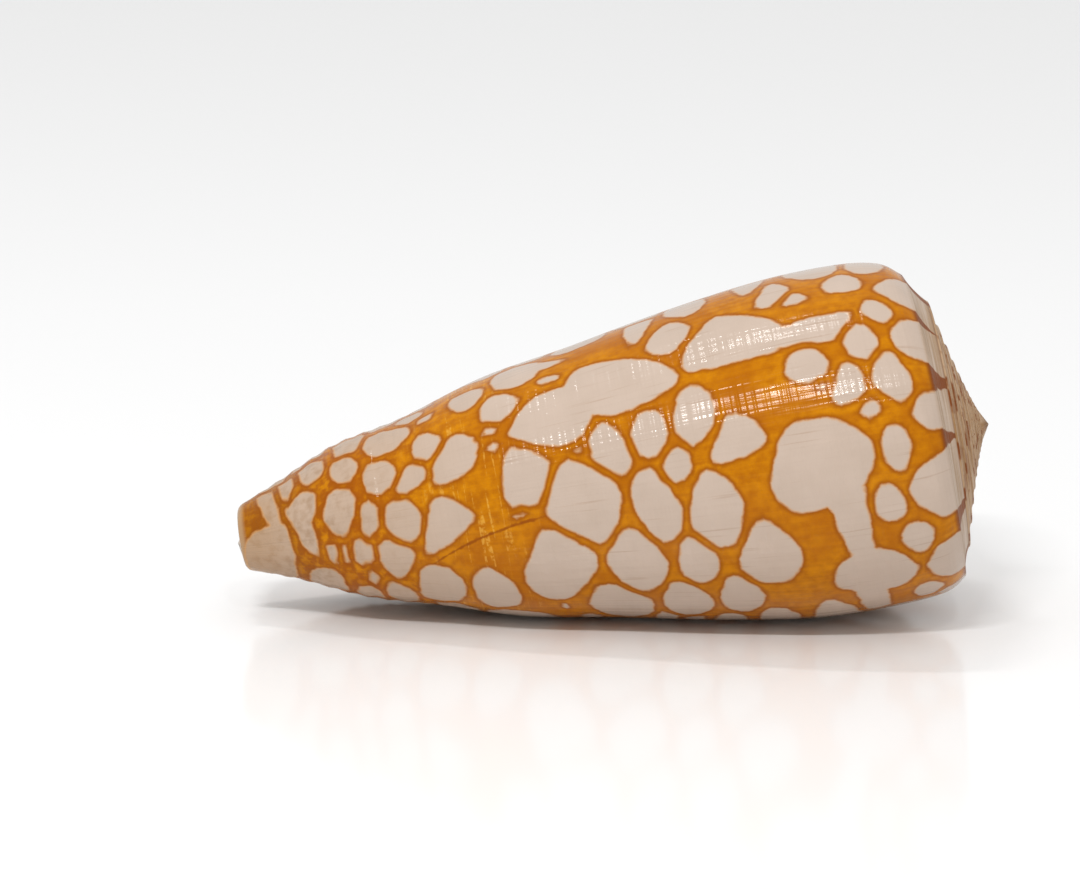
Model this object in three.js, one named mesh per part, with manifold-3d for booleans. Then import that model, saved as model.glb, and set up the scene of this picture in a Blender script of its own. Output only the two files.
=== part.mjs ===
// A tent-marked cone shell, empty, lying on its side with its aperture down.
// Millimetres, +Z up. The narrow anterior end points to -X and the low spire to +X.
// The origin is on the surface that the shell rests on, under the middle of its box.
//
// A point of the wall is given by its lag, which is how many turns of growth lie between it and the
// outer lip, and by its station, which is its distance from the anterior end along the coiling axis.
// The shell is one piece: each turn of the wall is laid on the turn before, so its whole surface is
// one lattice of lags and stations wound round the axis, with a hollow left under the last turn.

import * as THREE from "three";
import { mergeVertices } from "three/addons/utils/BufferGeometryUtils.js";
import Module from "manifold-3d";

const { clamp, degToRad, lerp, smoothstep } = THREE.MathUtils;

// ---- driving dimensions -------------------------------------------------------------------------
const LENGTH = 60.5; // anterior end to apex, along the coiling axis
const SHOULDER_RADIUS = 13.0; // at the reference lag
const SHOULDER_BELOW_APEX = 3.9; // how far the spire stands above that shoulder
const SPIRE_POWER = 0.75; // below 1, which makes the spire a little concave
const LAST_DESCENT = 2.4; // how far the last turn's shoulder drops on its way to the lip

// The flank at the reference lag: [station, radius] from the anterior end up to the shoulder.
const REFERENCE_LAG = 0.35;
const REFERENCE_SHOULDER = 55.3;
const FLANK = [
  [0, 2.9],
  [3.6, 4.4],
  [8.5, 6.6],
  [14, 7.85],
  [21, 10.1],
  [28, 11.4],
  [36, 13.0],
  [44, 14.2],
  [50, 14.5],
  [53.6, 14.1],
  [REFERENCE_SHOULDER, SHOULDER_RADIUS],
];

// How many times wider the shell gets in one turn, at three heights.
const SHOULDER_GROWTH = 1.24;
const FLANK_GROWTH = 1.15;
const ANTERIOR_GROWTH = 1.7;

const LIP_FLARE = 1.54; // how far the lip stands out from the even spiral
const FLARE_TURNS = 0.3;
const VENTRAL_DIP = 0.8; // how far the wall falls away beside the aperture
const HOLLOW_DEPTH = 1.2; // how much deeper the inner turn lies under the last one
const WALL = 1.15;
const ANTERIOR_WALL = 0.8;
const RIM = 0.45; // length over which the lip and the anterior edge round off
const SUTURE_PLACE = 0.8; // where the next turn is laid on the last step of the outline
const RAMP_SAG = 0.06; // hollow of the ramp, as a share of its width
const COLUMELLA_TIP = 0.4; // how far the columella reaches past the anterior edge

const LIP_ANGLE = degToRad(232); // place of the lip round the axis; 90 degrees is up, 180 is +Y
const PITCH = degToRad(9.3); // rise of the coiling axis towards the apex
const WORN_DEPTH = 0.06; // what wear has taken off where the shell touches the surface

// ---- fineness of the lattice --------------------------------------------------------------------
const TURN_STEPS = 44;
const HOLLOW_STEPS = 36; // from the lip back to the closed end of the hollow
const OUTLINE_STEPS = 2; // for each span of the flank outline
const RAMP_STEPS = 3;
const SPIRE_TURNS = 5;
const LIP_LAG = 0.004; // lag of the extra column that blunts the lip
const EDGE_PLACE = 0.1; // place of the extra row that blunts the anterior edge

// ---- law of growth ------------------------------------------------------------------------------
const outline = new THREE.SplineCurve(FLANK.map(([station, radius]) => new THREE.Vector2(station, radius)));
const outlinePoint = (place) => outline.getPoint(place / (FLANK.length - 1));

const shoulderRadius = (lag) => SHOULDER_RADIUS * SHOULDER_GROWTH ** (REFERENCE_LAG - lag);

function shoulderStation(lag) {
  const spire = SHOULDER_BELOW_APEX * (shoulderRadius(lag) / SHOULDER_RADIUS) ** SPIRE_POWER;
  return LENGTH - spire - LAST_DESCENT * Math.max(0, 1 - lag) ** 1.5;
}

function growth(below) {
  const flank = lerp(SHOULDER_GROWTH, FLANK_GROWTH, smoothstep(below, 2, 14));
  return lerp(flank, ANTERIOR_GROWTH, smoothstep(below, 41, 55));
}

// Share of a flare or a dip at a distance below the shoulder: none at the shoulder, less at the narrow end.
const flankShare = (below) => smoothstep(below, 1, 9) * lerp(1, 0.3, smoothstep(below, 38, 55));

// [station, radius] of the outer surface at a lag, for a point of the flank outline.
function flankPoint(lag, { x, y }) {
  const below = REFERENCE_SHOULDER - x;
  const nearScale = Math.min(1, shoulderRadius(lag) / SHOULDER_RADIUS);
  const farScale = shoulderStation(lag) / REFERENCE_SHOULDER;
  const scale = lerp(nearScale, farScale, smoothstep(below, 0, 12));
  const flare = LIP_FLARE * Math.max(0, 1 - lag / FLARE_TURNS) ** 2;
  const dip = VENTRAL_DIP * smoothstep(lag, 0.9, 1.1) + HOLLOW_DEPTH * smoothstep(lag, 1.02, 1.35);
  const radius = y * growth(below) ** (REFERENCE_LAG - lag) + (flare - dip) * flankShare(below);
  return [shoulderStation(lag) - below * scale, radius];
}

// ---- lattice ------------------------------------------------------------------------------------
const columnLags = Array.from({ length: TURN_STEPS }, (_, j) => j / TURN_STEPS);
columnLags.splice(1, 0, LIP_LAG);
const TURN = columnLags.length;
const CLOSED = HOLLOW_STEPS + 1; // column at the closed end of the hollow
const CORE = TURN + CLOSED; // the same place on the turn before
const LAST = SPIRE_TURNS * TURN;
const lagOf = (column) => Math.floor(column / TURN) + columnLags[column % TURN];

const places = Array.from({ length: (FLANK.length - 1) * OUTLINE_STEPS + 1 }, (_, i) => i / OUTLINE_STEPS);
places.splice(1, 0, EDGE_PLACE);
places.splice(-1, 0, FLANK.length - 2 + SUTURE_PLACE);
const flankRows = places.map(outlinePoint);
const SHOULDER = flankRows.length - 1;
const SUTURE = SHOULDER - 1; // row on which the outside of the next turn is laid
const ROOF = SHOULDER - 3; // row on which the inside of the next turn is laid
const TOP = SHOULDER + RAMP_STEPS; // row of the newer turn that ends on the older one

// [station, radius] of the outer surface in a row: up the flank, then across the ramp to the suture.
function outerPoint(lag, row) {
  if (row <= SHOULDER) return flankPoint(lag, flankRows[row]);
  const across = (row - SHOULDER) / RAMP_STEPS;
  const shoulder = flankPoint(lag, flankRows[SHOULDER]);
  const suture = flankPoint(lag + 1, flankRows[SUTURE]);
  const sag = RAMP_SAG * (shoulder[1] - suture[1]) * 4 * across * (1 - across);
  return [lerp(shoulder[0], suture[0], across) - sag, lerp(shoulder[1], suture[1], across)];
}

const vertices = [];
const triangles = [];

function addVertex(lag, station, radius) {
  const angle = LIP_ANGLE - 2 * Math.PI * lag;
  vertices.push(station, -radius * Math.cos(angle), radius * Math.sin(angle));
  return vertices.length / 3 - 1;
}

// A point on the outside (side 1) or the inside (side -1) of the wall. The two sides meet, half way
// through the wall, at the lip and along the anterior edge.
function addWallVertex(lag, row, side) {
  const [station, radius] = outerPoint(lag, row);
  const thickness = lerp(ANTERIOR_WALL, WALL, smoothstep(station, 0, 12));
  const round = (distance) => Math.sqrt(1 - (1 - clamp(distance / RIM, 0, 1)) ** 2);
  const fullness = round(lag * 2 * Math.PI * radius) * round(station);
  const depth = (thickness * (1 - side * fullness)) / 2;
  const underRamp = smoothstep(station, shoulderStation(lag) - 4, shoulderStation(lag));
  const across = clamp((row - SHOULDER) / RAMP_STEPS, 0, 1);
  return addVertex(lag, station - depth * underRamp, radius - depth * (1 - across));
}

function addTriangle(a, b, c) {
  if (a !== b && b !== c && c !== a) triangles.push(a, b, c);
}

function addQuad(a, b, c, d) {
  addTriangle(a, b, c);
  addTriangle(a, c, d);
}

// Outside of the wall, all the way up the spire. Past the closed end of the hollow, one turn back,
// only the shoulder and the ramp are bare.
const apex = addVertex(0, LENGTH, 0);
const outer = [];
for (let column = 0; column <= LAST; column++) {
  outer[column] = [];
  const first = column <= CORE ? 0 : SUTURE;
  for (let row = first; row < TOP; row++) outer[column][row] = addWallVertex(lagOf(column), row, 1);
}
for (let column = 0; column <= LAST; column++) {
  outer[column][TOP] = column + TURN <= LAST ? outer[column + TURN][SUTURE] : apex;
}
for (let column = 0; column < LAST; column++) {
  const [here, next] = [outer[column], outer[column + 1]];
  for (let row = column < CORE ? 0 : SUTURE; row < TOP; row++) {
    const underNextTurn = column >= TURN && row >= ROOF && row < SUTURE;
    if (!underNextTurn) addQuad(here[row], next[row], next[row + 1], here[row + 1]);
  }
}
for (let row = SUTURE; row < TOP; row++) addTriangle(apex, outer[LAST][row + 1], outer[LAST][row]);

// Inside of the wall, from the lip to the closed end of the hollow.
const inner = [outer[0].slice()];
for (let column = 1; column <= CLOSED; column++) {
  inner[column] = [outer[column][0]];
  for (let row = 1; row < TOP; row++) inner[column][row] = addWallVertex(lagOf(column), row, -1);
}
for (let column = 0; column <= CLOSED; column++) inner[column][TOP] = outer[column + TURN][ROOF];
for (let column = 0; column < CLOSED; column++) {
  const [here, next] = [inner[column], inner[column + 1]];
  for (let row = 0; row < TOP; row++) addQuad(here[row], here[row + 1], next[row + 1], next[row]);
}
// The upper end of the lip, where it runs on to the turn before.
for (let row = ROOF; row < SUTURE; row++) addTriangle(outer[0][TOP - 1], outer[TURN][row + 1], outer[TURN][row]);

// Closed end of the hollow.
for (let row = 0; row < TOP; row++) {
  const core = outer[CORE];
  addQuad(inner[CLOSED][row], inner[CLOSED][row + 1], core[Math.min(row + 1, ROOF)], core[Math.min(row, ROOF)]);
}

// Anterior end of the columella.
const columella = addVertex(0, -COLUMELLA_TIP, 0);
for (let column = CLOSED; column < CORE; column++) addTriangle(columella, outer[column + 1][0], outer[column][0]);
addTriangle(columella, outer[CLOSED][0], outer[CORE][0]);

// ---- resting pose -------------------------------------------------------------------------------
const lattice = new THREE.BufferGeometry();
lattice.setAttribute("position", new THREE.Float32BufferAttribute(vertices, 3));
lattice.setIndex(triangles);
lattice.rotateY(-PITCH);
lattice.computeBoundingBox();
const middle = lattice.boundingBox.getCenter(new THREE.Vector3());
lattice.translate(-middle.x, -middle.y, -lattice.boundingBox.min.z - WORN_DEPTH);

// ---- wear where it rests ------------------------------------------------------------------------
const manifold = await Module();
manifold.setup();

function toSolid(geometry) {
  const bare = new THREE.BufferGeometry();
  bare.setAttribute("position", geometry.getAttribute("position"));
  bare.setIndex(geometry.getIndex());
  const merged = mergeVertices(bare, 1e-5);
  return new manifold.Manifold(
    new manifold.Mesh({
      numProp: 3,
      vertProperties: new Float32Array(merged.getAttribute("position").array),
      triVerts: new Uint32Array(merged.getIndex().array),
    }),
  );
}

const GROUND = 100;
const ground = new THREE.BoxGeometry(GROUND, GROUND, GROUND).translate(0, 0, -GROUND / 2);
const worn = toSolid(lattice).subtract(toSolid(ground)).getMesh();

const geometry = new THREE.BufferGeometry();
geometry.setAttribute("position", new THREE.Float32BufferAttribute(worn.vertProperties, 3));
geometry.setIndex(Array.from(worn.triVerts));
geometry.computeVertexNormals();

const material = new THREE.MeshStandardMaterial({ color: 0xc98a3a, roughness: 0.25, metalness: 0 });
const shell = new THREE.Mesh(geometry, material);
shell.name = "shell";

const coneShell = new THREE.Group();
coneShell.name = "cone_shell";
coneShell.add(shell);

export default coneShell;
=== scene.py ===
import math

import bpy
import numpy as np
from mathutils import Matrix, Vector


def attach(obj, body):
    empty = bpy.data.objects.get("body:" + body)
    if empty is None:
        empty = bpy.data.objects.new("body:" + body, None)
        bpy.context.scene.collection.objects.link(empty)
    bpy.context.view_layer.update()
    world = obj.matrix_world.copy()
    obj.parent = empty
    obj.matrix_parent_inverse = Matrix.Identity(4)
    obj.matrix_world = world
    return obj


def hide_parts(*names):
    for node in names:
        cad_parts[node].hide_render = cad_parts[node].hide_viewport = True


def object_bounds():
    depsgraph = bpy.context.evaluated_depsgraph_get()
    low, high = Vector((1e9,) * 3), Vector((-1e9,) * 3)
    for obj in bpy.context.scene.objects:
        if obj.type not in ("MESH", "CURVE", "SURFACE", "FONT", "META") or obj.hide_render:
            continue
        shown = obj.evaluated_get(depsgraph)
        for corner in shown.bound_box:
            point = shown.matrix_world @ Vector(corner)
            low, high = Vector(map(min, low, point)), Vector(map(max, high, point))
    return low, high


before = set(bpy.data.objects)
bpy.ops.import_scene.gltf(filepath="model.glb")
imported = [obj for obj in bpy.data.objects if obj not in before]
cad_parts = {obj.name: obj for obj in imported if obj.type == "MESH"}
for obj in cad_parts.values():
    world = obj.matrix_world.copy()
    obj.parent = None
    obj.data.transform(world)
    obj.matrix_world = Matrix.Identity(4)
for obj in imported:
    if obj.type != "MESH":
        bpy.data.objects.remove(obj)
cad_box = [list(corner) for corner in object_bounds()]

MM = 0.001

# ---- the shell's law of growth, in mm, as in the CAD ------------------------------------------------
LENGTH = 60.5
SHOULDER_RADIUS = 13.0
SHOULDER_BELOW_APEX = 3.9
SPIRE_POWER = 0.75
LAST_DESCENT = 2.4
REFERENCE_LAG = 0.35
REFERENCE_SHOULDER = 55.3
FLANK = np.array([
    (0, 2.9), (3.6, 4.4), (8.5, 6.6), (14, 7.85), (21, 10.1), (28, 11.4),
    (36, 13.0), (44, 14.2), (50, 14.5), (53.6, 14.1), (REFERENCE_SHOULDER, SHOULDER_RADIUS),
])
SHOULDER_GROWTH = 1.24
FLANK_GROWTH = 1.15
ANTERIOR_GROWTH = 1.7
LIP_FLARE = 1.54
FLARE_TURNS = 0.3
VENTRAL_DIP = 0.8
HOLLOW_DEPTH = 1.2
WALL = 1.15
ANTERIOR_WALL = 0.8
RIM = 0.45
SUTURE_PLACE = 0.8
RAMP_SAG = 0.06
COLUMELLA_TIP = 0.4
LIP_DEGREES = 232.0
PITCH = math.radians(9.3)


def lerp(a, b, k):
    return a + (b - a) * k


def smoothstep(x, low, high):
    k = np.clip((x - low) / (high - low), 0, 1)
    return k * k * (3 - 2 * k)


def outline_point(place):
    """[station, radius] on the Catmull-Rom curve through FLANK."""
    last = len(FLANK) - 1
    place = np.clip(np.asarray(place, float), 0, last)
    i = np.minimum(place.astype(int), last - 1)
    w = (place - i)[..., None]
    p0, p1, p2, p3 = FLANK[np.maximum(i - 1, 0)], FLANK[i], FLANK[i + 1], FLANK[np.minimum(i + 2, last)]
    v0, v1 = (p2 - p0) / 2, (p3 - p1) / 2
    return (2 * p1 - 2 * p2 + v0 + v1) * w**3 + (-3 * p1 + 3 * p2 - 2 * v0 - v1) * w**2 + v0 * w + p1


PLACES = np.linspace(0, len(FLANK) - 1, 4001)
PLACE_STATIONS = outline_point(PLACES)[:, 0]


def place_of(station):
    return np.interp(station, PLACE_STATIONS, PLACES)


def shoulder_radius(lag):
    return SHOULDER_RADIUS * SHOULDER_GROWTH ** (REFERENCE_LAG - lag)


def shoulder_station(lag):
    spire = SHOULDER_BELOW_APEX * (shoulder_radius(lag) / SHOULDER_RADIUS) ** SPIRE_POWER
    return LENGTH - spire - LAST_DESCENT * np.maximum(0, 1 - lag) ** 1.5


def growth(below):
    flank = lerp(SHOULDER_GROWTH, FLANK_GROWTH, smoothstep(below, 2, 14))
    return lerp(flank, ANTERIOR_GROWTH, smoothstep(below, 41, 55))


def flank_share(below):
    return smoothstep(below, 1, 9) * lerp(1, 0.3, smoothstep(below, 38, 55))


def flank_point(lag, station, radius):
    below = REFERENCE_SHOULDER - station
    near = np.minimum(1, shoulder_radius(lag) / SHOULDER_RADIUS)
    far = shoulder_station(lag) / REFERENCE_SHOULDER
    flare = LIP_FLARE * np.maximum(0, 1 - lag / FLARE_TURNS) ** 2
    dip = VENTRAL_DIP * smoothstep(lag, 0.9, 1.1) + HOLLOW_DEPTH * smoothstep(lag, 1.02, 1.35)
    s = shoulder_station(lag) - below * lerp(near, far, smoothstep(below, 0, 12))
    return s, radius * growth(below) ** (REFERENCE_LAG - lag) + (flare - dip) * flank_share(below)


# ---- lattice of the fine surface --------------------------------------------------------------------
# Columns stand at lags, in turns: closest together at the lip, then on the side from FINE_FROM to
# FINE_TO. The flank's rows stand at stations, in mm.
FINE_FROM, FINE_TO = 0.28, 0.92
FINE_STEP, COARSE_STEP = 1 / 265, 1 / 130
lags = np.concatenate([
    [0, 0.0006, 0.0018, 0.0034, 0.0052],
    np.arange(0.012, FINE_FROM, COARSE_STEP),
    np.arange(FINE_FROM, FINE_TO, FINE_STEP),
    np.arange(FINE_TO, 0.996, COARSE_STEP),
])
TURN = len(lags)
HOLLOW_LAG = 0.82
CLOSED = int(np.searchsorted(lags, HOLLOW_LAG))
CORE = TURN + CLOSED
SPIRE_TURNS = 11
LAST = SPIRE_TURNS * TURN
column_lag = np.arange(LAST + 1) // TURN + lags[np.arange(LAST + 1) % TURN]

SUTURE_STATION = float(outline_point(len(FLANK) - 2 + SUTURE_PLACE)[0])
stations = np.concatenate([
    [0, 0.04, 0.13, 0.27, 0.45],
    np.arange(0.8, 22, 0.36),
    np.arange(22.1, 51, 0.6),
    np.arange(51.3, 53.5, 0.36),
    [53.6, 53.95, 54.3, 54.62, SUTURE_STATION, 55.15, REFERENCE_SHOULDER],
])
flank_rows = outline_point(place_of(stations))
SHOULDER = len(flank_rows) - 1
SUTURE = SHOULDER - 2
ROOF = SHOULDER - 6
RAMP_STEPS = 7
TOP = SHOULDER + RAMP_STEPS


def across_ramp(row):
    return np.clip((row - SHOULDER) / RAMP_STEPS, 0, 1)


RELIEF_HEIGHT = 0.05
CORD_SPACING = 1.5


def relief(lag, station):
    """Height of the growth ridges and the spiral cords, in mm."""
    waver = 1.3 * np.sin(lag * 9)
    cords = (1 - smoothstep(station, 9, 19)) * np.sin(station * 2 * np.pi / CORD_SPACING + waver)
    swell = np.sin(lag * 41 + 0.09 * station) * np.sin(lag * 17 + 1)
    fade = smoothstep(station, 0.5, 3) * (1 - smoothstep(station, 50, 54))
    fade = fade * (1 - smoothstep(lag, 0.93, 0.99))
    return RELIEF_HEIGHT * (cords + swell) * fade


def outer_point(lag, row):
    """(station, radius) of the outer surface, up the flank and then across the ramp to the suture."""
    lag, row = np.broadcast_arrays(np.asarray(lag, float), row)
    flank = flank_rows[np.minimum(row, SHOULDER)]
    s, r = flank_point(lag, flank[..., 0], flank[..., 1])
    r = r + np.where((row <= SHOULDER) & (lag < 1), relief(lag, flank[..., 0]), 0)
    s1, r1 = flank_point(lag + 1, *flank_rows[SUTURE])
    k = across_ramp(row)
    sag = RAMP_SAG * (r - r1) * 4 * k * (1 - k)
    return lerp(s, s1, k) - sag, lerp(r, r1, k)


def round_off(distance):
    return np.sqrt(1 - (1 - np.clip(distance / RIM, 0, 1)) ** 2)


def place_points(lag, station, radius):
    angle = np.radians(LIP_DEGREES) - 2 * np.pi * lag
    y, z = -radius * np.cos(angle), radius * np.sin(angle)
    c, s = math.cos(PITCH), math.sin(PITCH)
    return np.stack([station * c - z * s, y + 0 * station, station * s + z * c], -1)


def wall_points(lag, row, side):
    s, r = outer_point(lag, row)
    thickness = lerp(ANTERIOR_WALL, WALL, smoothstep(s, 0, 12))
    fullness = round_off(lag * 2 * np.pi * r) * round_off(s)
    depth = thickness * (1 - side * fullness) / 2
    under = smoothstep(s, shoulder_station(lag) - 4, shoulder_station(lag))
    return place_points(lag, s - depth * under, r - depth * (1 - across_ramp(row)))


# Vertices: all columns by all rows, of which only those that a face uses are kept.
rows = np.arange(TOP)
grid_lag, grid_row = np.meshgrid(column_lag, rows, indexing="ij")
outer = np.arange((LAST + 1) * TOP).reshape(LAST + 1, TOP)
points = [wall_points(grid_lag, grid_row, 1).reshape(-1, 3)]
apex = outer.size
points.append(place_points(np.zeros(1), np.array([LENGTH]), np.zeros(1)))
columella = apex + 1
points.append(place_points(np.zeros(1), np.array([-COLUMELLA_TIP]), np.zeros(1)))
top = np.full(LAST + 1, apex)
top[: LAST + 1 - TURN] = outer[TURN:, SUTURE]
outer = np.hstack([outer, top[:, None]])

inner = np.empty((CLOSED + 1, TOP + 1), int)
inner_lag, inner_row = np.meshgrid(column_lag[1 : CLOSED + 1], rows[1:], indexing="ij")
inner[1:, 1:TOP] = columella + 1 + np.arange(inner_lag.size).reshape(inner_lag.shape)
points.append(wall_points(inner_lag, inner_row, -1).reshape(-1, 3))
inner[0] = outer[0]
inner[:, 0] = outer[: CLOSED + 1, 0]
inner[:, TOP] = outer[TURN : CORE + 1, ROOF]
points = np.concatenate(points)

# Faces as corner lists. Each corner keeps its own lag, row and side, because at a suture one vertex
# belongs to two turns. The side says how far inside the shell the corner is.
OUTSIDE, EDGE, INSIDE = 0.0, 0.6, 1.0
corners, corner_lag, corner_row, corner_side = [], [], [], []


def gather(*values):
    """The values of a face's four corners, as one row for each face."""
    return np.stack(np.broadcast_arrays(*values), -1)


def add_faces(vertices, lag, row, side):
    shape = vertices.shape
    corners.append(vertices)
    corner_lag.append(np.broadcast_to(lag, shape))
    corner_row.append(np.broadcast_to(row, shape))
    corner_side.append(np.broadcast_to(side, shape))


def add_strip(table, lag, column, row, flip, side):
    """Quads of a lattice table between a column and the next, and between a row and the next."""
    if flip:
        steps = ((0, 0), (0, 1), (1, 1), (1, 0))
    else:
        steps = ((0, 0), (1, 0), (1, 1), (0, 1))
    vertices = gather(*(table[column + i, row + j] for i, j in steps))
    lags_of_corners = gather(*(lag[column + i] for i, _ in steps))
    rows_of_corners = gather(*(row + j for _, j in steps))
    add_faces(vertices, lags_of_corners, rows_of_corners, side)


def lattice(column_count, row_count):
    """All pairs of a column and a row, as two flat arrays."""
    pairs = np.meshgrid(np.arange(column_count), np.arange(row_count), indexing="ij")
    return pairs[0].ravel(), pairs[1].ravel()


# The outer surface, without what the next turn covers, and the wall's inner surface.
column, row = lattice(LAST, TOP)
bare = (row >= SUTURE) | (column < CORE)
under_next = (column >= TURN) & (row >= ROOF) & (row < SUTURE)
keep = bare & ~under_next
column, row = column[keep], row[keep]
in_hollow = (column >= TURN) & (row < SUTURE)
add_strip(outer, column_lag, column[~in_hollow], row[~in_hollow], False, OUTSIDE)
add_strip(outer, column_lag, column[in_hollow], row[in_hollow], False, INSIDE)
column, row = lattice(CLOSED, TOP)
add_strip(inner, column_lag, column, row, True, INSIDE)

# The end of the hollow, the tip of the columella, the lip's end at the suture, and the apex.
row = np.arange(TOP)
core = outer[CORE]
low_core, high_core = core[np.minimum(row, ROOF)], core[np.minimum(row + 1, ROOF)]
add_faces(gather(inner[CLOSED, row], inner[CLOSED, row + 1], high_core, low_core), HOLLOW_LAG, 10, INSIDE)
column = np.arange(CLOSED, CORE)
here, beyond = column_lag[column], column_lag[column + 1]
tip = gather(columella, outer[column + 1, 0], outer[column, 0], outer[column, 0])
add_faces(tip, gather(here, beyond, here, here), 0, EDGE)
tip_end = gather([columella], outer[CLOSED, 0], outer[CORE, 0], outer[CORE, 0])
add_faces(tip_end, HOLLOW_LAG, 0, EDGE)
row = np.arange(ROOF, SUTURE)
lip_end = gather(outer[0, TOP - 1], outer[TURN, row + 1], outer[TURN, row], outer[TURN, row])
add_faces(lip_end, 0.0, SHOULDER, EDGE)
row = np.arange(SUTURE, TOP)
spire_end = gather(apex, outer[LAST, row + 1], outer[LAST, row], outer[LAST, row])
add_faces(spire_end, column_lag[LAST], TOP, OUTSIDE)

corners = np.concatenate(corners)
corner_lag = np.concatenate(corner_lag)
corner_row = np.concatenate(corner_row)
corner_side = np.concatenate(corner_side)

# Repeated corners are dropped, so that quads with two merged corners become triangles.
fresh = np.stack([corners[:, k] != corners[:, (k + 1) % 4] for k in range(4)], 1)
sizes = fresh.sum(1)
good = sizes >= 3
fresh, sizes = fresh & good[:, None], sizes[good]
flat = corners[fresh]
lag_at, row_at, side_at = corner_lag[fresh], corner_row[fresh], corner_side[fresh]
used, flat = np.unique(flat, return_inverse=True)
points = points[used]
print("shell faces", len(sizes), "triangles", int((sizes - 2).sum()), "vertices", len(points))

# The surface is moved onto the CAD's box, and worn flat where it rests.
low, high = points.min(0), points.max(0)
cad_low, cad_high = np.array(cad_box[0]) / MM, np.array(cad_box[1]) / MM
points[:, :2] += ((cad_low + cad_high - low - high) / 2)[:2]
points[:, 2] += cad_high[2] - high[2]
points[:, 2] = np.maximum(points[:, 2], 0)

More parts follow.
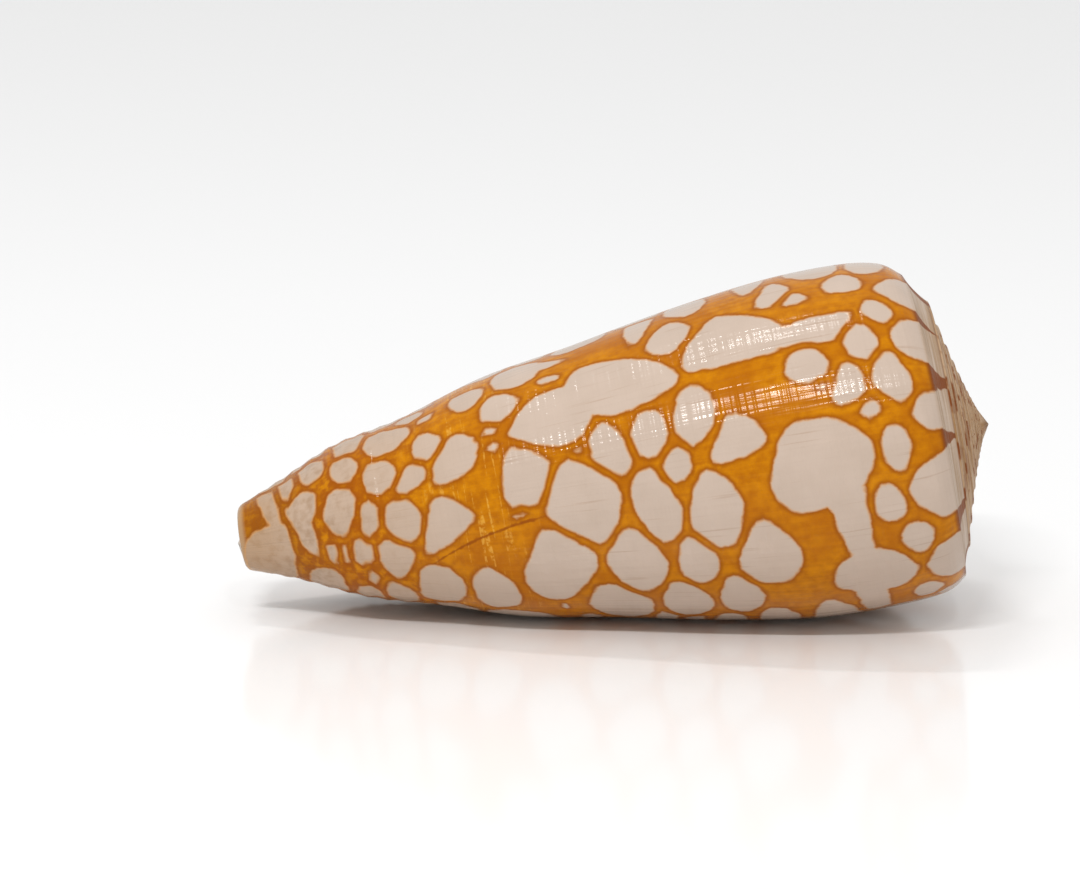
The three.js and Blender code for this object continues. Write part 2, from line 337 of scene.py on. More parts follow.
# ---- markings ---------------------------------------------------------------------------------------
# White cells on the outside of the last turn. Each cell is one or more convex polygons, which are
# rounded off. A corner is (station in mm, angle round the axis in degrees): at 0 degrees the surface
# looks to -Y, and 90 is up.
CELLS = [
    # anterior end
    [[(0.4, 5), (1.3, 27), (3.7, 27), (4.3, 8), (4.2, -25), (3.8, -62), (0.6, -62), (0.2, -20)],
     [(2.2, 30), (2.0, 60), (1.3, 88), (3.2, 88), (3.4, 60), (3.8, 20), (2.4, 15)]],
    [[(3.7, 80), (4.6, 84), (5.0, 70), (4.4, 53), (3.9, 60)]],
    [[(5.6, 86), (6.6, 86), (7.6, 75), (7.7, 68), (7.0, 58), (6.3, 57), (5.5, 70)]],
    [[(4.2, 42), (5.8, 53), (6.8, 44), (6.2, 22), (5.0, 14)],
     [(5.0, 22), (6.1, 25), (6.3, 5), (6.3, -10), (5.8, -9), (5.1, 5)]],
    [[(7.6, 36), (8.2, 42), (9.4, 41), (9.9, 32), (9.3, 14), (8.5, 6), (7.8, 10), (7.2, 22)]],
    [[(8.3, 64), (8.9, 69), (9.4, 68), (10.5, 58), (10.4, 54), (9.6, 44), (8.9, 46), (8.1, 57)]],
    [[(8.8, 72), (10.3, 71), (10.9, 80), (11.0, 95), (8.6, 95)]],
    [[(11.0, 72), (11.6, 84), (12.6, 84), (15.0, 73), (14.8, 67), (13.2, 58), (12.2, 58), (11.2, 64)]],
    [[(10.8, 44), (11.3, 54), (12.6, 53), (13.5, 44), (13.3, 38), (12.0, 31), (11.0, 34)]],
    [[(13.3, 30), (14.3, 43), (15.3, 43), (15.9, 35), (15.3, 31), (13.4, 28)]],
    [[(15.0, 56), (15.5, 62), (16.4, 62), (17.4, 54), (17.2, 49), (16.2, 44), (15.5, 45), (15.0, 50)]],
    [[(16.2, 33), (17.2, 47), (18.3, 53), (19.4, 51), (20.3, 43), (19.6, 33), (17.2, 27), (16.4, 28)]],
    [[(16.0, 21), (17.0, 21), (19.5, 7), (19.4, 4), (17.0, -4), (15.6, -12), (14.8, -11), (15.1, 3)]],
    [[(12.0, 19), (12.8, 25), (13.8, 24), (14.9, 14), (14.6, 4), (13.8, -2), (13.0, -1), (12.1, 9)]],
    [[(10.4, 24), (11.0, 28), (11.7, 20), (11.3, 10), (10.4, 4), (10.2, 9)]],
    [[(11.2, -3), (11.8, 1), (12.6, -1), (13.9, -9), (13.5, -18), (12.6, -29), (12.1, -30), (11.3, -19)]],
    [[(9.2, 0), (9.8, 3), (10.6, -4), (10.6, -11), (9.9, -18), (9.4, -15), (9.0, -6)]],
    [[(7.1, -1), (7.8, -1), (7.9, -10), (7.5, -17), (7.1, -12)]],
    [[(8.3, -1), (8.7, -1), (8.5, -14), (8.1, -12)]],
    [[(10.1, -22), (10.6, -28), (10.3, -36), (9.9, -32)]],
    [[(5.3, -32), (6.4, -24), (7.5, -26), (7.8, -35), (7.8, -60), (5.2, -60)]],
    [[(9.0, -42), (9.6, -39), (10.4, -44), (10.6, -60), (8.7, -60)]],
    [[(11.2, -36), (11.8, -33), (12.6, -38), (13.1, -43), (13.3, -58), (12.0, -66), (11.1, -50)]],
    [[(14.0, -24), (14.6, -19), (16.0, -19), (17.3, -29), (17.3, -38), (16.4, -50), (15.0, -54),
      (13.9, -48)]],
    [[(15.7, 77), (16.8, 77), (16.6, 73), (15.6, 73)]],
    [[(13.5, 92), (14.4, 81), (15.6, 81), (16.3, 92)]],
    # middle
    [[(18.0, -28), (18.9, -19), (19.6, -19), (21.3, -30), (21.6, -38), (21.2, -46), (19.2, -52),
      (18.2, -46)]],
    [[(18.6, 83), (19.8, 83), (21.1, 80), (21.3, 75), (20.6, 68), (19.6, 65), (18.8, 68), (18.3, 75)]],
    [[(20.6, 61), (21.7, 69), (22.6, 69), (24.0, 61), (23.3, 55), (22.2, 51), (20.9, 54)]],
    [[(20.7, 47), (21.2, 51), (21.9, 49), (21.6, 46)]],
    [[(20.8, 39), (21.4, 42), (21.9, 40), (21.4, 37)]],
    [[(22.1, 6), (22.8, 9), (23.1, 7), (22.3, 5)]],
    [[(21.8, 82), (22.2, 72), (23.8, 69), (25.6, 74), (26.0, 86), (24.6, 92), (22.3, 90)],
     [(25.0, 75), (26.5, 77), (28.6, 75), (28.9, 79), (27.0, 83), (25.0, 88)]],
    [[(25.4, 68), (26.2, 71), (27.4, 69), (27.2, 67), (26.0, 66)]],
    [[(22.6, 43), (23.8, 54), (25.2, 60), (28.0, 61), (29.4, 55), (29.3, 40), (27.8, 33), (26.0, 33),
      (24.0, 38)],
     [(27.4, 60), (28.8, 69), (31.2, 68), (34.9, 60), (36.6, 50), (36.0, 43), (33.0, 41), (31.0, 38),
      (29.9, 42), (28.0, 45)]],
    [[(21.6, 18), (22.2, 35), (22.8, 40), (24.0, 35), (26.0, 31), (26.1, 28), (25.4, 20), (24.4, 10),
      (22.0, 10)]],
    [[(24.5, 5), (26.0, 25), (27.0, 27), (30.5, 15), (30.7, 8), (29.8, -5), (28.6, -11), (27.8, -9),
      (24.8, 3)]],
    [[(28.6, 30), (29.6, 39), (30.7, 38), (31.9, 27), (32.0, 20), (31.0, 15), (29.6, 20), (28.8, 25)]],
    [[(27.4, 30), (28.2, 32), (28.4, 29), (27.9, 28)]],
    [[(32.2, 33), (33.0, 39), (34.3, 39), (35.0, 34), (34.9, 26), (33.9, 21), (32.6, 22), (32.1, 27)]],
    [[(35.4, 32), (36.5, 44), (37.8, 45), (38.9, 38), (39.0, 33), (37.9, 25), (36.8, 22), (35.7, 27)]],
    [[(34.1, 17), (34.8, 23), (35.9, 23), (36.5, 17), (36.0, 12), (35.2, 10), (34.3, 13)]],
    [[(31.3, 7), (31.8, 16), (33.2, 18), (35.0, 4), (35.2, -1), (34.4, -10), (33.3, -12), (31.9, -4)]],
    [[(35.4, -5), (36.4, 10), (37.2, 14), (38.4, 12), (39.9, 1), (39.6, -6), (38.6, -15), (37.4, -16),
      (35.8, -10)]],
    [[(22.0, -25), (23.2, -8), (24.0, 0), (24.8, -1), (28.0, -15), (28.0, -20), (26.2, -35), (25.2, -41),
      (23.9, -41), (22.6, -36)]],
    [[(28.6, -19), (30.0, -5), (31.0, -4), (33.2, -17), (33.4, -21), (32.4, -33), (31.2, -37),
      (29.8, -33)]],
    [[(34.2, -17), (34.8, -10), (35.8, -10), (37.3, -20), (37.2, -26), (36.4, -31), (35.2, -32),
      (34.2, -27)]],
    [[(26.6, -45), (27.6, -32), (28.8, -31), (31.6, -43), (31.7, -48), (31.0, -60), (29.5, -66),
      (27.8, -60)]],
    [[(32.3, -43), (33.2, -31), (34.2, -30), (36.2, -40), (36.4, -47), (35.4, -56), (34.2, -60),
      (32.8, -54)]],
    [[(24.5, -45), (24.9, -45), (25.0, -50), (24.5, -50)]],
    [[(25.7, -64), (26.3, -58), (27.4, -64), (27.0, -74), (26.0, -74)]],
    [[(31.5, -62), (32.2, -54), (33.4, -62), (33.2, -74), (31.8, -74)]],
    [[(32.8, 78), (33.1, 92), (35.6, 92), (34.9, 82), (34.0, 73), (33.2, 71)]],
    [[(34.2, 68), (35.6, 78), (36.4, 80), (37.6, 77), (38.1, 71), (37.2, 64), (36.0, 60), (35.0, 62)]],
    # upper shoulder end
    [[(36.8, 53), (37.4, 61), (40.0, 74), (41.2, 73), (44.9, 62), (45.4, 56), (44.6, 50), (38.6, 49),
      (37.3, 50)],
     [(44.0, 61), (44.5, 51), (48.8, 50), (50.6, 60), (50.4, 66), (49.0, 70), (48.0, 69), (46.3, 61)]],
    [[(43.2, 72), (43.9, 81), (44.8, 88), (45.6, 86), (46.3, 80), (45.2, 72), (44.4, 70)]],
    [[(45.2, 71), (46.2, 76), (47.0, 75), (47.6, 71), (47.2, 70), (45.6, 69)]],
    [[(36.1, 88), (36.6, 100), (39.5, 100), (39.7, 88), (39.0, 82), (38.0, 80), (36.9, 83)]],
    [[(42.1, 86), (42.0, 98), (44.6, 98), (44.2, 90), (43.2, 83), (42.6, 83)]],
    [[(46.0, 92), (46.2, 102), (50.3, 102), (50.4, 90), (49.4, 84), (47.6, 84)]],
    [[(48.6, 77), (49.6, 83), (50.6, 84), (51.9, 77), (51.8, 73), (50.4, 71), (49.0, 72)]],
    [[(50.8, 90), (51.4, 100), (53.8, 100), (54.1, 92), (53.6, 85), (52.6, 82), (51.6, 83)]],
    [[(52.2, 73), (53.2, 76), (54.6, 83), (57, 84), (57, 64), (54.4, 63), (53.2, 67)]],
    [[(51.0, 60), (51.8, 66), (52.8, 65), (53.6, 60), (53.4, 55), (52.8, 54), (51.6, 57)]],
    [[(49.2, 50), (50.2, 55), (51.2, 55), (52.0, 49), (51.6, 43), (50.8, 41), (49.6, 43)]],
    [[(44.5, 41), (45.2, 48), (46.6, 50), (48.0, 43), (48.0, 40), (46.6, 36), (45.2, 37)]],
    [[(46.5, 34), (47.1, 36), (47.6, 35), (47.3, 33)]],
    [[(47.6, 29), (48.4, 39), (49.2, 42), (50.2, 39), (50.4, 33), (49.9, 29), (48.2, 27)]],
    [[(50.8, 34), (51.8, 43), (52.8, 43), (53.9, 35), (54.0, 29), (53.0, 25), (52.0, 27)]],
    [[(49.5, 24), (50.3, 28), (51.2, 26), (51.1, 23), (50.2, 21)]],
    [[(52.9, 49), (53.8, 55), (57, 58), (57, 40), (54.4, 40), (53.3, 44)]],
    [[(53.4, 21), (54.2, 27), (57, 30), (57, 16), (54.4, 15)]],
    [[(50.5, 12), (51.3, 19), (52.3, 19), (53.1, 12), (52.8, 7), (51.9, 3), (50.8, 6)]],
    [[(37.8, 18), (38.8, 26), (39.8, 32), (40.8, 31), (42.4, 23), (42.2, 19), (39.8, 15), (38.0, 15)]],
    # lower shoulder end
    [[(42.0, 3), (42.6, 14), (43.8, 23), (45.4, 25), (48.0, 23), (50.1, 14), (50.2, 10), (49.2, 2),
      (48.0, -2),
      (45.2, -6), (44.0, -6), (42.4, -1)],
     [(46.0, 1), (48.8, 1), (48.8, -26), (47.2, -26), (46.4, -12)],
     [(45.6, -33), (46.4, -26), (47.4, -23), (50.0, -24), (51.6, -31), (52.1, -36), (51.2, -43),
      (50.0, -46),
      (46.8, -43), (45.7, -39)],
     [(47.0, -40), (49.2, -40), (49.6, -55), (49.4, -66), (47.8, -64)]],
    [[(49.2, -6), (50.0, 0), (51.0, 0), (51.9, -7), (51.6, -12), (50.6, -14), (49.6, -12)]],
    [[(50.8, -20), (51.8, -15), (52.8, -15), (53.7, -20), (53.2, -27), (52.4, -29), (51.4, -26)]],
    [[(52.0, -3), (53.4, 4), (57, 9), (57, -16), (54.8, -17), (52.6, -9)]],
    [[(52.6, -37), (53.4, -29), (54.6, -26), (57, -29), (57, -52), (54.4, -48), (53.0, -42)]],
    [[(51.2, -52), (52.0, -47), (53.0, -47), (54.0, -52), (53.6, -58), (52.0, -60)]],
    [[(38.6, -24), (40.2, -7), (41.0, -5), (43.5, -17), (43.7, -22), (42.6, -32), (41.6, -34),
      (39.6, -32)]],
    [[(36.7, -42), (37.6, -29), (38.6, -28), (40.2, -38), (40.3, -44), (39.2, -53), (38.2, -55),
      (36.9, -48)]],
    [[(43.8, -60), (44.6, -47), (45.4, -47), (47.0, -58), (47.4, -75), (44.0, -75)]],
    [[(39.5, -60), (40.4, -51), (41.6, -51), (42.8, -60), (42.6, -74), (39.8, -74)]],
    [[(36.0, -64), (36.8, -56), (37.8, -56), (38.6, -62), (38.4, -74), (36.2, -74)]],
]
VISIBLE = (-62, 92)  # angles between which no other cells are added
CLASSES = 6
CLASS_GAP = 2.5  # mm that two cells of one class keep from each other where they can
CELL_GAP = 0.1  # mm added to the spacing of two cells
FILL_SPAN = 375  # degrees behind the lip in which cells are added
FILL_STATIONS = (0.5, 56)
FILL_SCALES = (1.5, 1.15, 0.8, 0.5)
FILL_TRIES = 2500  # for each scale
FILL_REACH = 1.18  # corners of an added cell, against its half-length and half-breadth
CORNER_ROUNDING = 0.26  # mm, less in small cells
FIELD_REACH = 3  # mm round a cell's box in which its distance is worked out
FAR = 9.0  # mm, the distance that a cell further off than that is given
DRIFT = 0.0226  # how far the cells lag behind the shoulder as it climbs, per mm and turn
DRIFT_LAG = 0.24  # lag at which the drift is nil
rng = np.random.default_rng(7)


def radius_at(station):
    return outline_point(place_of(station))[..., 1]


def extent(cell):
    """(station, angle, half-length, half-breadth) of a cell's box, in mm but for the angle."""
    corner = np.array([c for polygon in cell for c in polygon], float)
    low, high = corner.min(0), corner.max(0)
    station, angle = (low + high) / 2
    breadth = math.radians(high[1] - low[1]) / 2 * float(radius_at(station))
    return station, angle, (high[0] - low[0]) / 2, breadth


def add_more_cells():
    """Fills the rest of the last turn with cells like the listed ones, the large ones first."""
    placed = np.array([extent([polygon]) for cell in CELLS for polygon in cell])
    for scale in np.repeat(FILL_SCALES, FILL_TRIES):
        angle = rng.uniform(LIP_DEGREES - FILL_SPAN, LIP_DEGREES)
        station = rng.uniform(*FILL_STATIONS)
        if VISIBLE[0] < angle < VISIBLE[1]:
            continue
        size = lerp(0.9, 2.4, float(smoothstep(station, 3, 30)))
        size = size * lerp(1, 0.75, float(smoothstep(station, 48, 54)))
        length, breadth = size * scale * rng.uniform(0.8, 1.15, 2)
        radius = float(radius_at(min(station, REFERENCE_SHOULDER)))
        other_station, other_angle, other_length, other_breadth = placed.T
        across = np.radians(angle - other_angle) * radius / (other_breadth + breadth + CELL_GAP)
        along = (station - other_station) / (other_length + length + CELL_GAP)
        if np.hypot(across, along).min() < 1:
            continue
        placed = np.vstack([placed, (station, angle, length, breadth)])
        count = int(rng.integers(5, 8))
        uneven = rng.uniform(-0.25, 0.25, count)
        turns = (np.arange(count) + uneven) * 2 * np.pi / count + rng.uniform(0, 6)
        x, y = length * FILL_REACH * np.cos(turns), breadth * FILL_REACH * np.sin(turns)
        y = y + rng.uniform(-0.5, 0.2) * x
        CELLS.append([list(zip(station + x, angle + np.degrees(y / radius)))])


add_more_cells()


def gap_between(one, other):
    """Roughly how far two boxes from extent() are apart, in mm."""
    station, angle, length, breadth = one
    other_station, other_angle, other_length, other_breadth = other
    radius = float(radius_at((station + other_station) / 2))
    across = abs(math.radians(angle - other_angle)) * radius - breadth - other_breadth
    along = abs(station - other_station) - length - other_length
    return math.hypot(max(across, 0), max(along, 0))


def colour_cells():
    """Puts neighbouring cells in different classes, so that each class's distance field stays smooth."""
    boxes = [[extent([polygon]) for polygon in cell] for cell in CELLS]
    classes = []
    for i, mine in enumerate(boxes):
        room = np.full(CLASSES, 1e3)
        for j in range(i):
            gap = min(gap_between(one, other) for one in mine for other in boxes[j])
            room[classes[j]] = min(room[classes[j]], gap)
        free = np.nonzero(room > CLASS_GAP)[0]
        classes.append(int(free[0]) if len(free) else int(room.argmax()))
    return classes


def polygon_field(x, y, corner, softness):
    """Distance in mm outside a convex polygon with rounded corners, negative inside it."""
    following = np.roll(corner, -1, 0)
    if np.sum(corner[:, 0] * following[:, 1] - following[:, 0] * corner[:, 1]) < 0:
        corner = corner[::-1]
    edge = np.roll(corner, -1, 0) - corner
    normal = np.stack([edge[:, 1], -edge[:, 0]], 1) / np.hypot(edge[:, 0], edge[:, 1])[:, None]
    far = x[:, None] * normal[:, 0] + y[:, None] * normal[:, 1] - (corner * normal).sum(1)
    largest = far.max(1)
    rounding = np.log(np.exp((far - largest[:, None]) / softness).sum(1))
    return largest + softness * rounding - 0.35 * softness


def cell_fields(lag, station):
    """Distance in mm outside the nearest cell of each class, negative inside it."""
    angle = LIP_DEGREES - 360 * lag
    station = station * (1 + DRIFT * (lag - DRIFT_LAG))
    fields = np.full((len(lag), CLASSES), FAR)
    for cell, number in zip(CELLS, colour_cells()):
        for polygon in cell:
            mid_station, mid_angle, length, breadth = extent([polygon])
            radius = float(radius_at(mid_station))
            x = station - mid_station
            y = np.radians(angle - mid_angle) * radius
            near = np.nonzero((np.abs(x) < length + FIELD_REACH) & (np.abs(y) < breadth + FIELD_REACH))[0]
            corner = np.array(polygon, float)
            corner = np.stack([corner[:, 0] - mid_station, np.radians(corner[:, 1] - mid_angle) * radius], 1)
            softness = min(CORNER_ROUNDING, 0.2 * min(length, breadth))
            field = polygon_field(x[near], y[near], corner, softness)
            fields[near, number] = np.minimum(fields[near, number], field)
    return fields


# Every corner's height is its station on the flank. On the ramp it goes on from the shoulder.
RAMP_SPAN = 4.0
CELLS_END = 1.06  # lag
on_ramp = REFERENCE_SHOULDER + RAMP_SPAN * across_ramp(row_at)
height_at = np.where(row_at <= SHOULDER, flank_rows[np.minimum(row_at, SHOULDER), 0], on_ramp)
corner_key = np.stack([lag_at, height_at, side_at], 1)
on_flank = lag_at < CELLS_END
flank_keys, inverse = np.unique(np.round(corner_key[on_flank, :2], 6), axis=0, return_inverse=True)
flank_fields = cell_fields(flank_keys[:, 0], np.minimum(flank_keys[:, 1], REFERENCE_SHOULDER))
fields_at = np.full((len(lag_at), CLASSES), FAR)
fields_at[on_flank] = flank_fields[inverse.ravel()]

# ---- mesh -------------------------------------------------------------------------------------------
mesh = bpy.data.meshes.new("shell_skin")
mesh.vertices.add(len(points))
mesh.vertices.foreach_set("co", (points * MM).astype(np.float32).ravel())
mesh.loops.add(len(flat))
mesh.loops.foreach_set("vertex_index", flat.astype(np.int32).ravel())
mesh.polygons.add(len(sizes))
mesh.polygons.foreach_set("loop_start", np.concatenate([[0], np.cumsum(sizes)[:-1]]).astype(np.int32))
mesh.update(calc_edges=True)
mesh.validate()
for name, values in (("coil", corner_key), ("cells_a", fields_at[:, :3]), ("cells_b", fields_at[:, 3:])):
    layer = mesh.attributes.new(name, "FLOAT_VECTOR", "CORNER")
    layer.data.foreach_set("vector", values.astype(np.float32).ravel())
mesh.polygons.foreach_set("use_smooth", np.ones(len(sizes), bool))
shell = bpy.data.objects.new("shell_skin", mesh)
bpy.context.collection.objects.link(shell)


# ---- material ---------------------------------------------------------------------------------------
def srgb(r, g, b):
    """Linear colour from 8-bit sRGB numbers."""
    channels = (r / 255, g / 255, b / 255)
    return tuple(c / 12.92 if c <= 0.04045 else ((c + 0.055) / 1.055) ** 2.4 for c in channels) + (1,)


ORANGE, DEEP_ORANGE = srgb(203, 134, 3), srgb(176, 107, 1)
ORANGE_PATCH = srgb(174, 103, 1)
ORANGE_RIM = srgb(154, 86, 2)
# painted highlight: the light streaks along the spiral cords are put into the base colour
CORD_HIGHLIGHT_PAINT = srgb(228, 178, 84)
REST_BROWN = srgb(140, 70, 2)
STAIN, TIP_STAIN = srgb(156, 84, 6), srgb(140, 88, 24)
TIP_EDGE = srgb(186, 156, 122)
WHITE, GREY_WHITE = srgb(201, 183, 169), srgb(189, 171, 156)
SCRATCH = srgb(160, 130, 106)
BROWNED_WHITE, TIP_WHITE = srgb(184, 158, 134), srgb(174, 142, 110)
DIRT = srgb(146, 112, 78)
WARM_EDGE = srgb(208, 150, 80)
BEIGE, DARK_BEIGE = srgb(194, 166, 136), srgb(166, 130, 92)
PALE_RAMP, DARK_RAMP = srgb(200, 181, 164), srgb(176, 150, 124)
DASH_BROWN = srgb(130, 66, 2)
SUTURE_BROWN = srgb(120, 76, 40)
INSIDE_WHITE = srgb(226, 214, 202)


class Graph:
    """Builds a node material with short calls. A socket or a plain number can be given for any input."""

    def __init__(self, material):
        self.nodes, self.links = material.node_tree.nodes, material.node_tree.links

    def put(self, socket, value):
        if isinstance(value, bpy.types.NodeSocket):
            self.links.new(value, socket)
        else:
            socket.default_value = value

    def math(self, operation, a, b=0.0, c=0.0):
        node = self.nodes.new("ShaderNodeMath")
        node.operation = operation
        for socket, value in zip(node.inputs, (a, b, c)):
            self.put(socket, value)
        return node.outputs[0]

    def times(self, a, b):
        return self.math("MULTIPLY", a, b)

    def step(self, x, low, high, to_low=0.0, to_high=1.0):
        """Smooth step of x from low to high, which may be given in falling order."""
        node = self.nodes.new("ShaderNodeMapRange")
        node.interpolation_type = "SMOOTHSTEP"
        names = ("Value", "From Min", "From Max", "To Min", "To Max")
        for name, value in zip(names, (x, low, high, to_low, to_high)):
            self.put(node.inputs[name], value)
        return node.outputs[0]

    def attribute(self, name):
        """The three parts of a vector attribute."""
        node = self.nodes.new("ShaderNodeAttribute")
        node.attribute_name = name
        split = self.nodes.new("ShaderNodeSeparateXYZ")
        self.links.new(node.outputs["Vector"], split.inputs[0])
        return list(split.outputs)

    def noise(self, vector, scale=1.0, detail=2.0, roughness=0.5):
        node = self.nodes.new("ShaderNodeTexNoise")
        names = ("Vector", "Scale", "Detail", "Roughness")
        for name, value in zip(names, (vector, scale, detail, roughness)):
            self.put(node.inputs[name], value)
        return node.outputs[0]

    def stretched(self, x, x_scale, y, y_scale, detail=2.0, roughness=0.5):
        """Noise over two sockets, with a scale for each."""
        node = self.nodes.new("ShaderNodeCombineXYZ")
        self.put(node.inputs[0], self.times(x, x_scale))
        self.put(node.inputs[1], self.times(y, y_scale))
        return self.noise(node.outputs[0], 1.0, detail, roughness)

    def mix(self, factor, a, b):
        node = self.nodes.new("ShaderNodeMix")
        node.data_type = "RGBA"
        for index, value in ((0, factor), (6, a), (7, b)):
            self.put(node.inputs[index], value)
        return node.outputs[2]

    def bump(self, height, strength, distance, normal=None):
        node = self.nodes.new("ShaderNodeBump")
        self.put(node.inputs["Strength"], strength)
        self.put(node.inputs["Distance"], distance)
        self.put(node.inputs["Height"], height)
        if normal is not None:
            self.put(node.inputs["Normal"], normal)
        return node.outputs[0]


skin = bpy.data.materials.new("cone_shell_skin")
skin.use_nodes = True
graph = Graph(skin)
shader = graph.nodes["Principled BSDF"]

lag, height, side = graph.attribute("coil")
millimetres = graph.nodes.new("ShaderNodeVectorMath")
millimetres.operation = "SCALE"
graph.put(millimetres.inputs[0], graph.nodes.new("ShaderNodeTexCoord").outputs["Object"])
millimetres.inputs["Scale"].default_value = 1 / MM
place = millimetres.outputs[0]
MM_PER_TURN = 88.0  # about, round the last turn
around = graph.times(lag, MM_PER_TURN)
patchy = graph.noise(place, 0.22, 2.0)
mottle = graph.noise(place, 1.3, 3.0)


# Where the white cells are.
EDGE_WOBBLE = 0.5  # mm
LINE_HALF_WIDTH = 0.3  # mm of orange kept on each side of the middle between two cells
TIP_GROWTH = 0.1  # mm by which the cells are fuller towards the anterior end


def depth_in_cell():
    """How deep a point is in a white cell, in mm, and negative outside every cell."""
    first, *others = graph.attribute("cells_a") + graph.attribute("cells_b")
    second = None
    for field in others:
        larger = graph.math("MAXIMUM", first, field)
        second = larger if second is None else graph.math("MINIMUM", second, larger)
        first = graph.math("MINIMUM", first, field)
    wobble = graph.math("SUBTRACT", graph.noise(place, 0.9, 3.0), 0.5)
    first = graph.math("MULTIPLY_ADD", wobble, EDGE_WOBBLE, first)
    first = graph.math("SUBTRACT", first, graph.step(height, 24, 14, to_high=TIP_GROWTH))
    gap = graph.math("SUBTRACT", second, first)
    to_line = graph.math("MULTIPLY_ADD", gap, 0.5, -LINE_HALF_WIDTH)
    return graph.math("MINIMUM", graph.times(first, -1.0), to_line)


# Orange ground.
def painted_cord_highlight():
    """Painted highlight: light, broken lines along the spiral cords, on a band of the lower flank."""
    cords = graph.stretched(around, 0.13, height, 2.9, 1.0)
    band = graph.times(graph.step(height, 25, 20), graph.step(height, 13, 17))
    speckle = graph.step(graph.noise(place, 3.2, 2.0), 0.38, 0.6)
    return graph.times(graph.step(cords, 0.55, 0.66, to_high=0.5), graph.times(band, speckle))


def orange_ground(outside):
    """Mottled orange, faintly streaked along the growth lines, with painted highlights along the cords, and
    darker along the cells' edges.
    """
    axial = graph.stretched(around, 1.6, height, 0.09, 3.0, 0.6)
    streaks = graph.mix(graph.step(height, 6, 24, to_high=0.45), mottle, axial)
    orange = graph.mix(graph.step(streaks, 0.3, 0.7), DEEP_ORANGE, ORANGE)
    orange = graph.mix(graph.step(patchy, 0.4, 0.7, to_high=0.7), orange, ORANGE_PATCH)
    # painted highlight along the spiral cords, mixed into the orange ground
    orange = graph.mix(painted_cord_highlight(), orange, CORD_HIGHLIGHT_PAINT)
    return graph.mix(graph.step(outside, -0.05, 0.45), ORANGE_RIM, orange)


REST_FOOT = 15.3  # station where the line has swept REST_SWEEP degrees from where it ends up
REST_RISE = 4.6  # mm of station in which that sweep falls to about a third
REST_SWEEP = 24.0
REST_DEGREES = 8.0  # angle round the axis that the line comes to


def resting_line():
    """A rest in the growth: a thin dark line that bends across the lower flank."""
    bend = graph.math("EXPONENT", graph.math("MULTIPLY_ADD", height, -1 / REST_RISE, REST_FOOT / REST_RISE))
    rest_lag = graph.math("MULTIPLY_ADD", bend, REST_SWEEP / 360, (LIP_DEGREES - REST_DEGREES) / 360)
    off_line = graph.math("ABSOLUTE", graph.times(graph.math("SUBTRACT", lag, rest_lag), 60.0))
    off_line = graph.math("MULTIPLY_ADD", graph.noise(place, 2.2, 2.0), 0.3, off_line)
    line = graph.times(graph.step(off_line, 0.34, 0.16), graph.step(height, 14.5, 16))
    return graph.times(line, graph.step(height, 26, 23, to_high=0.8))


def stained(ground):
    """Brown blotches and a paler rim at the anterior end, and a brown band at the shoulder."""
    blotches = graph.times(graph.step(mottle, 0.62, 0.4), graph.step(height, 20, 6, to_high=0.7))
    ground = graph.mix(blotches, ground, STAIN)
    ground = graph.mix(graph.step(height, 9, 2, to_high=0.5), ground, TIP_STAIN)
    ground = graph.mix(graph.step(height, 0.75, 0.25, to_high=0.8), ground, TIP_EDGE)
    return graph.mix(graph.step(height, 54.8, REFERENCE_SHOULDER, to_high=0.9), ground, DASH_BROWN)


# White cells.
def white_cells(in_cell):
    """Pinkish grey, scratched along the growth lines, browner at the anterior end and warm at the edges."""
    white = graph.mix(graph.noise(place, 0.35, 2.0), WHITE, GREY_WHITE)
    scratches = graph.stretched(around, 3.0, height, 0.12)
    white = graph.mix(graph.step(scratches, 0.62, 0.72, to_high=0.3), white, SCRATCH)
    white = graph.mix(graph.step(height, 24, 8, to_high=0.6), white, BROWNED_WHITE)
    dirt = graph.times(graph.step(mottle, 0.4, 0.75), graph.step(height, 16, 4, to_high=0.45))
    white = graph.mix(dirt, white, DIRT)
    white = graph.mix(graph.step(height, 6, 1, to_high=0.6), white, TIP_WHITE)
    return graph.mix(graph.step(in_cell, 0.2, -0.02, to_high=0.6), white, WARM_EDGE)


# Spire.
def spire_dashes(across, outside, early):
    """Brown dashes. On the last turn they carry on from the orange between the cells and taper off."""
    ragged = graph.math("MULTIPLY_ADD", graph.noise(place, 1.6, 2.0), 0.7, across)
    blotch = graph.stretched(lag, 17.0, across, 0.35, 3.0, 0.6)
    fading = graph.step(ragged, 1.2, 0.5, to_low=0.3, to_high=0.9)
    early_dashes = graph.times(graph.step(blotch, 0.5, 0.57), fading)
    wedges = graph.math("MULTIPLY_ADD", ragged, -0.6, outside)
    return graph.mix(early, graph.step(wedges, -0.28, -0.1, to_high=0.92), early_dashes)


def spire_colour(outside, early):
    """Beige, paler on the last turn, streaked along the turns, with dashes and a thin line in the suture."""
    across = graph.math("MULTIPLY_ADD", height, 1 / RAMP_SPAN, -REFERENCE_SHOULDER / RAMP_SPAN)
    streaks = graph.step(graph.stretched(lag, 7.0, across, 5.0), 0.35, 0.65)
    ramp = graph.mix(streaks, PALE_RAMP, DARK_RAMP)
    beige = graph.mix(streaks, BEIGE, DARK_BEIGE)
    spire = graph.mix(spire_dashes(across, outside, early), graph.mix(early, ramp, beige), DASH_BROWN)
    off_suture = graph.math("ABSOLUTE", graph.math("ADD", across, -1.0))
    return graph.mix(graph.step(off_suture, 0.12, 0.0, to_high=0.6), spire, SUTURE_BROWN)


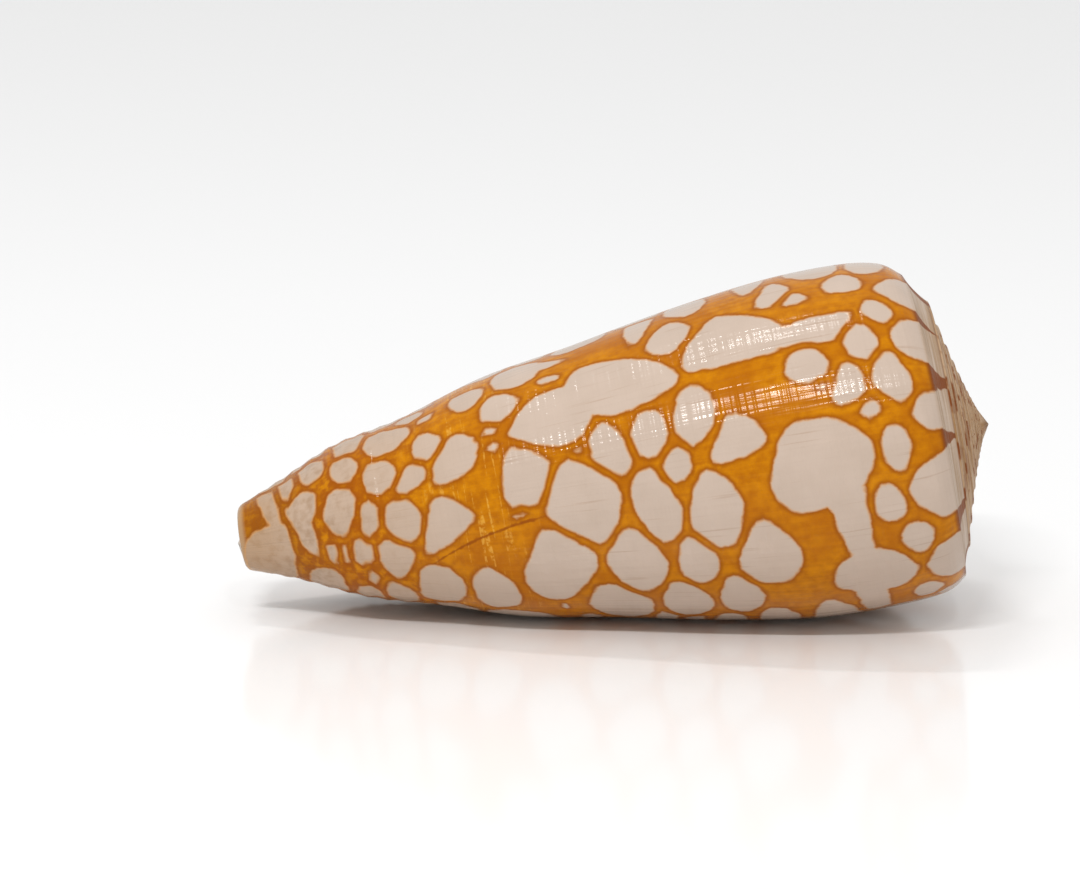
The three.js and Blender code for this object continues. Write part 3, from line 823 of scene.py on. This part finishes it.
# Colour of the whole shell.
in_cell = depth_in_cell()
outside = graph.times(in_cell, -1.0)
ground = graph.mix(resting_line(), orange_ground(outside), REST_BROWN)
flank_colour = graph.mix(graph.step(in_cell, -0.12, 0.1), stained(ground), white_cells(in_cell))
early = graph.step(lag, 0.98, 1.02)
past_shoulder = graph.step(height, REFERENCE_SHOULDER - 0.3, REFERENCE_SHOULDER + 0.2)
on_spire = graph.math("MAXIMUM", early, past_shoulder)
colour = graph.mix(on_spire, flank_colour, spire_colour(outside, early))
colour = graph.mix(graph.step(side, 0.1, 0.5), colour, INSIDE_WHITE)
graph.put(shader.inputs["Base Color"], colour)

# Gloss, broken by fine spiral striae and growth lines, and duller on the spire.
BUMP_DEPTH = 0.12 * MM
bumps = graph.bump(graph.stretched(around, 0.08, height, 2.4, 1.0), 0.55, BUMP_DEPTH)
bumps = graph.bump(graph.stretched(around, 1.8, height, 0.1), 0.5, BUMP_DEPTH, bumps)
graph.put(shader.inputs["Normal"], bumps)
gloss = graph.step(patchy, 0.3, 0.7, to_low=0.1, to_high=0.16)
graph.put(shader.inputs["Roughness"], graph.math("MULTIPLY_ADD", on_spire, 0.3, gloss))
shader.inputs["Specular IOR Level"].default_value = 0.18
mesh.materials.append(skin)

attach(shell, "root")
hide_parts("shell")

# ---- floor ------------------------------------------------------------------------------------------
FLOOR_SIZE = 4.0
FLOOR_DROP = 0.00005  # below the shell, so that the two don't lie in one plane
FLOOR_GREY = 0.93
FLOOR_ROUGHNESS = 0.15
bpy.ops.mesh.primitive_plane_add(size=FLOOR_SIZE, location=(0, 0, -FLOOR_DROP))
floor = bpy.context.object
floor.name = "floor"
pale = bpy.data.materials.new("floor_pale")
pale.use_nodes = True
floor_shader = pale.node_tree.nodes["Principled BSDF"]
floor_shader.inputs["Base Color"].default_value = (FLOOR_GREY, FLOOR_GREY, FLOOR_GREY, 1)
floor_shader.inputs["Roughness"].default_value = FLOOR_ROUGHNESS
floor.data.materials.append(pale)

# ---- light ------------------------------------------------------------------------------------------
WORLD_STRENGTH = 0.65
LIGHT_AIM = Vector((0, 0, 0.012))
LIGHT_DISTANCE = 0.6
scene = bpy.context.scene
scene.view_settings.view_transform = "Standard"
scene.view_settings.look = "Medium High Contrast"
world = bpy.data.worlds.new("studio")
world.use_nodes = True
background = world.node_tree.nodes["Background"]
background.inputs["Color"].default_value = (1, 1, 1, 1)
background.inputs["Strength"].default_value = WORLD_STRENGTH
scene.world = world


def strip_light(name, elevation, lean, length, width, power):
    """A soft strip along X aimed at the shell: its elevation over the front, and its lean towards -X."""
    e, k = math.radians(elevation), math.radians(lean)
    back = Vector((-math.sin(k), -math.cos(e) * math.cos(k), math.sin(e) * math.cos(k)))
    along = (Vector((1, 0, 0)) - back * back.x).normalized()
    data = bpy.data.lights.new(name, "AREA")
    data.shape, data.size, data.size_y, data.energy = "RECTANGLE", length, width, power
    light = bpy.data.objects.new(name, data)
    light.location = LIGHT_AIM + back * LIGHT_DISTANCE
    light.rotation_euler = Matrix((along, back.cross(along), back)).transposed().to_euler()
    bpy.context.collection.objects.link(light)


strip_light("front_strip", 50, 13, 0.17, 0.012, 1.1)
strip_light("shoulder_glint", 50, -6, 0.04, 0.012, 0.2)
strip_light("overhead_strip", 100, 13, 0.12, 0.016, 0.38)

# ---- camera -----------------------------------------------------------------------------------------
CAMERA_ELEVATION = math.radians(13.5)
CAMERA_DISTANCE = 0.34
CAMERA_AIM = Vector((-0.00577, 0, 0.0137))
SENSOR_WIDTH = 36
LENS = 141.4
camera_data = bpy.data.cameras.new("camera")
camera_data.sensor_width = SENSOR_WIDTH
camera_data.lens = LENS
camera_data.clip_start = 0.01
camera = bpy.data.objects.new("camera", camera_data)
camera_back = Vector((0, -math.cos(CAMERA_ELEVATION), math.sin(CAMERA_ELEVATION)))
camera.location = CAMERA_AIM + camera_back * CAMERA_DISTANCE
camera.rotation_euler = (-camera_back).to_track_quat("-Z", "Y").to_euler()
bpy.context.collection.objects.link(camera)
scene.camera = camera
